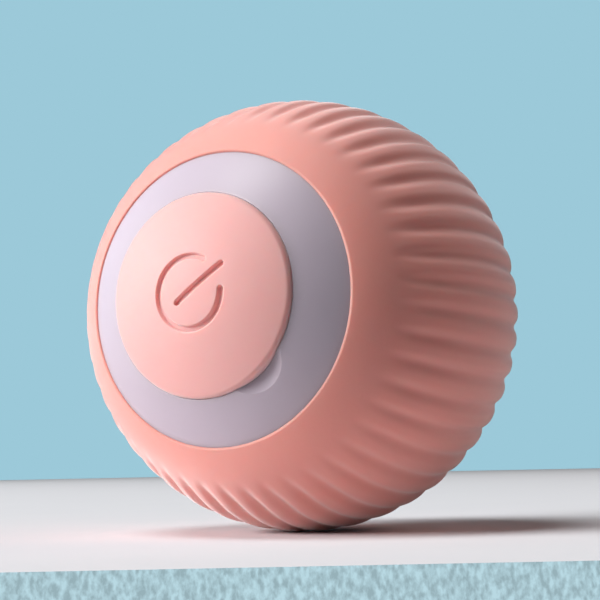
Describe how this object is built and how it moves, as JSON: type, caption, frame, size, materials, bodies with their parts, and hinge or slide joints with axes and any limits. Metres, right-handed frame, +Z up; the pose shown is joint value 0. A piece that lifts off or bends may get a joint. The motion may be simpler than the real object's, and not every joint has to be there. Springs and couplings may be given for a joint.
{
  "type": "self-rolling cat ball",
  "caption": "Motorised cat ball: ribbed silicone sleeve over frosted half shells, push button at one pole, pull-off charging cover at the other, weighted drive carriage inside.",
  "frame": {"origin": "centre of the ball, which is the centre of its bounding box", "axes": "Y is the axis the ball rolls about, with the power button at -Y and the charging cover at +Y; +Z is up, and the weighted carriage hangs towards -Z"},
  "size_m": [0.043, 0.042, 0.043],
  "materials": {
    "silicone_skin": "matt soft-touch silicone",
    "frosted_polycarbonate": "frosted translucent",
    "disc_plastic": "soft-touch satin",
    "white_plastic": "moulded satin",
    "black_plastic": "moulded matt",
    "acetal": "waxy moulded",
    "seal_rubber": "matt",
    "cell_foil": "laminated foil",
    "plated_steel": "nickel plated",
    "brass_tab": "bright",
    "copper_winding": "enamelled wire",
    "circuit_board": "solder mask",
    "lamp_resin": "clear resin over white",
    "lead_insulation": "silicone wire"
  },
  "bodies": {
    "shell": {"silicone_sleeve": "silicone_skin", "front_shell": "frosted_polycarbonate", "rear_shell": "frosted_polycarbonate", "ring_gear": "acetal", "front_bushing": "acetal", "rear_bushing": "acetal", "button_gasket": "seal_rubber"},
    "button": {"power_button": "disc_plastic", "button_plunger": "white_plastic"},
    "cover": {"charging_cover": "disc_plastic", "cover_insert": "white_plastic", "cover_seal": "seal_rubber"},
    "carriage": {"front_carrier": "white_plastic", "rear_carrier": "white_plastic", "battery_tray": "white_plastic", "battery_cell": "cell_foil", "counterweight": "plated_steel", "weight_screws": "plated_steel", "carrier_screws": "plated_steel", "motor_mount": "white_plastic", "mount_screws": "plated_steel", "motor_can": "plated_steel", "motor_end_cap": "black_plastic", "motor_terminals": "brass_tab", "idler_pin": "plated_steel", "main_board": "circuit_board", "board_chips": "black_plastic", "switch_board": "circuit_board", "switch_body": "black_plastic", "board_screws": "plated_steel", "lamps": "lamp_resin", "charging_socket": "plated_steel", "socket_tongue": "black_plastic", "switch_leads": "lead_insulation", "battery_leads": "lead_insulation"},
    "rotor": {"motor_rotor": "copper_winding", "motor_shaft": "plated_steel", "motor_pinion": "brass_tab"},
    "idler": {"idler_gear": "acetal"},
    "stem": {"switch_stem": "black_plastic"}
  },
  "joints": [
    {"name": "carriage_spin", "type": "hinge", "parent": "shell", "child": "carriage", "pos_m": [0, 0, 0], "axis": [0, 1, 0], "continuous": true},
    {"name": "idler_spin", "type": "hinge", "parent": "carriage", "child": "idler", "pos_m": [0, 0, 0.011], "axis": [0, 1, 0], "continuous": true},
    {"name": "motor_spin", "type": "hinge", "parent": "carriage", "child": "rotor", "pos_m": [0, 0, 0.0056], "axis": [0, 1, 0], "continuous": true},
    {"name": "button_press", "type": "slide", "parent": "shell", "child": "button", "axis": [0, 1, 0], "range_m": [0, 0.0004], "stiffness_N_per_m": 250, "springref_m": -0.002},
    {"name": "stem_press", "type": "slide", "parent": "carriage", "child": "stem", "axis": [0, 1, 0], "range_m": [0, 0.0004]},
    {"name": "cover_pull", "type": "slide", "parent": "shell", "child": "cover", "axis": [0, 1, 0], "range_m": [0, 0.006]}
  ],
  "couplings": [
    {"joint": "idler_spin", "follows": "carriage_spin", "ratio": -5.4},
    {"joint": "motor_spin", "follows": "carriage_spin", "ratio": 16.2},
    {"joint": "stem_press", "follows": "button_press", "ratio": 1}
  ]
}
